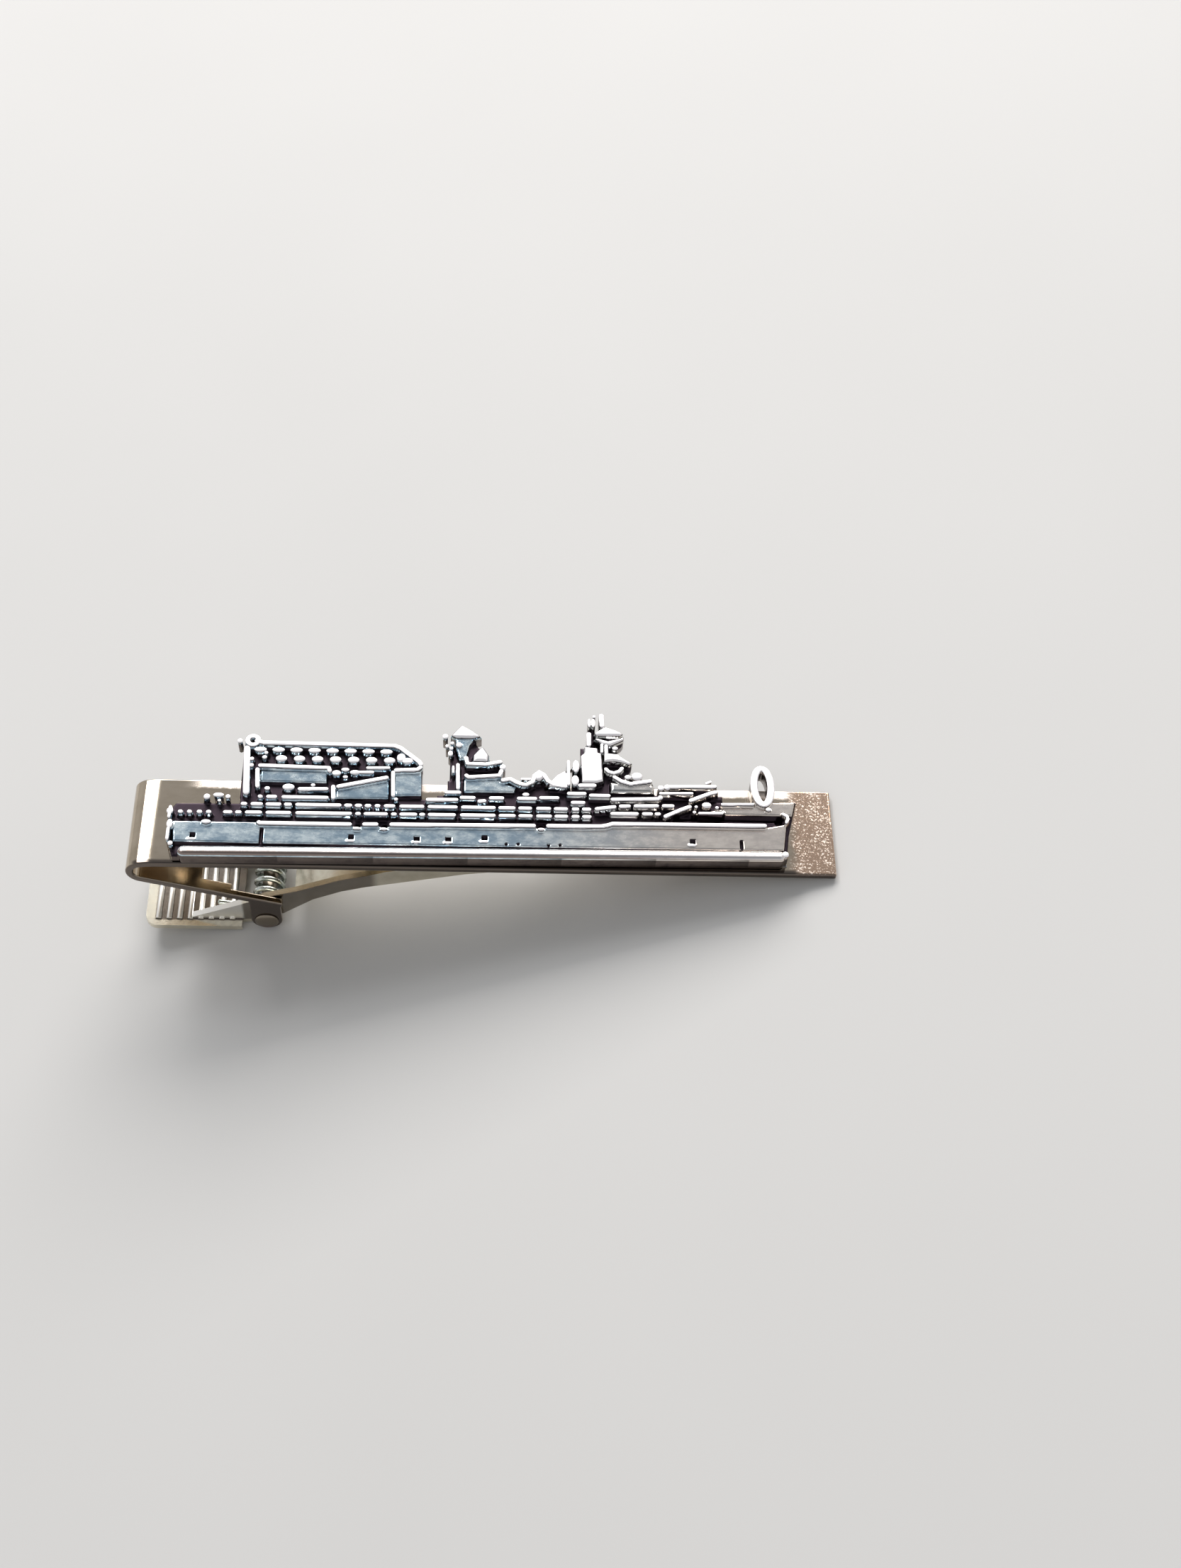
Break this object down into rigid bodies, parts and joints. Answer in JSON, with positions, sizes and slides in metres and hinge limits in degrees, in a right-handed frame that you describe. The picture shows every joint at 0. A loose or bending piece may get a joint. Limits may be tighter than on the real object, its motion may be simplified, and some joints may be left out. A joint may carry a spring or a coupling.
{
  "type": "tie clip",
  "caption": "Sprung tie clip: folded strip with a hinged, toothed lever jaw behind it and a cast ship relief soldered along its front bar.",
  "frame": {"origin": "on the back face of the front bar, on the bar's centre line, above the middle of the jaw's toothed lips, where the tie is held", "axes": "+X along the bar from the bend to the bare tail, +Y across the bar towards the ship's masts, +Z out of the bar's front face"},
  "size_m": [0.0555, 0.0145, 0.0116],
  "materials": {
    "strip_metal": "polished nickel plate, worn on the tail",
    "cast_metal": "plated casting, bright on its ridges and darkened in its hollows",
    "lever_metal": "bright nickel plate with a warm cast",
    "pin_metal": "turned steel with domed heads",
    "spring_wire": "drawn spring wire",
    "solder": "dull soft solder"
  },
  "bodies": {
    "clip": {"folded_strip": "strip_metal", "solder_bed": "solder", "ship_casting": "cast_metal", "hinge_pin": "pin_metal", "torsion_spring": "spring_wire"},
    "lever": {"lever": "lever_metal"}
  },
  "joints": [
    {"name": "lever_hinge", "type": "hinge", "parent": "clip", "child": "lever", "pos_m": [-0.0203, 0, -0.0079], "axis": [0, 1, 0], "range_deg": [0, 25], "stiffness_Nm_per_rad": 0.03, "springref_deg": -45.84, "deforming": ["torsion_spring"]}
  ]
}
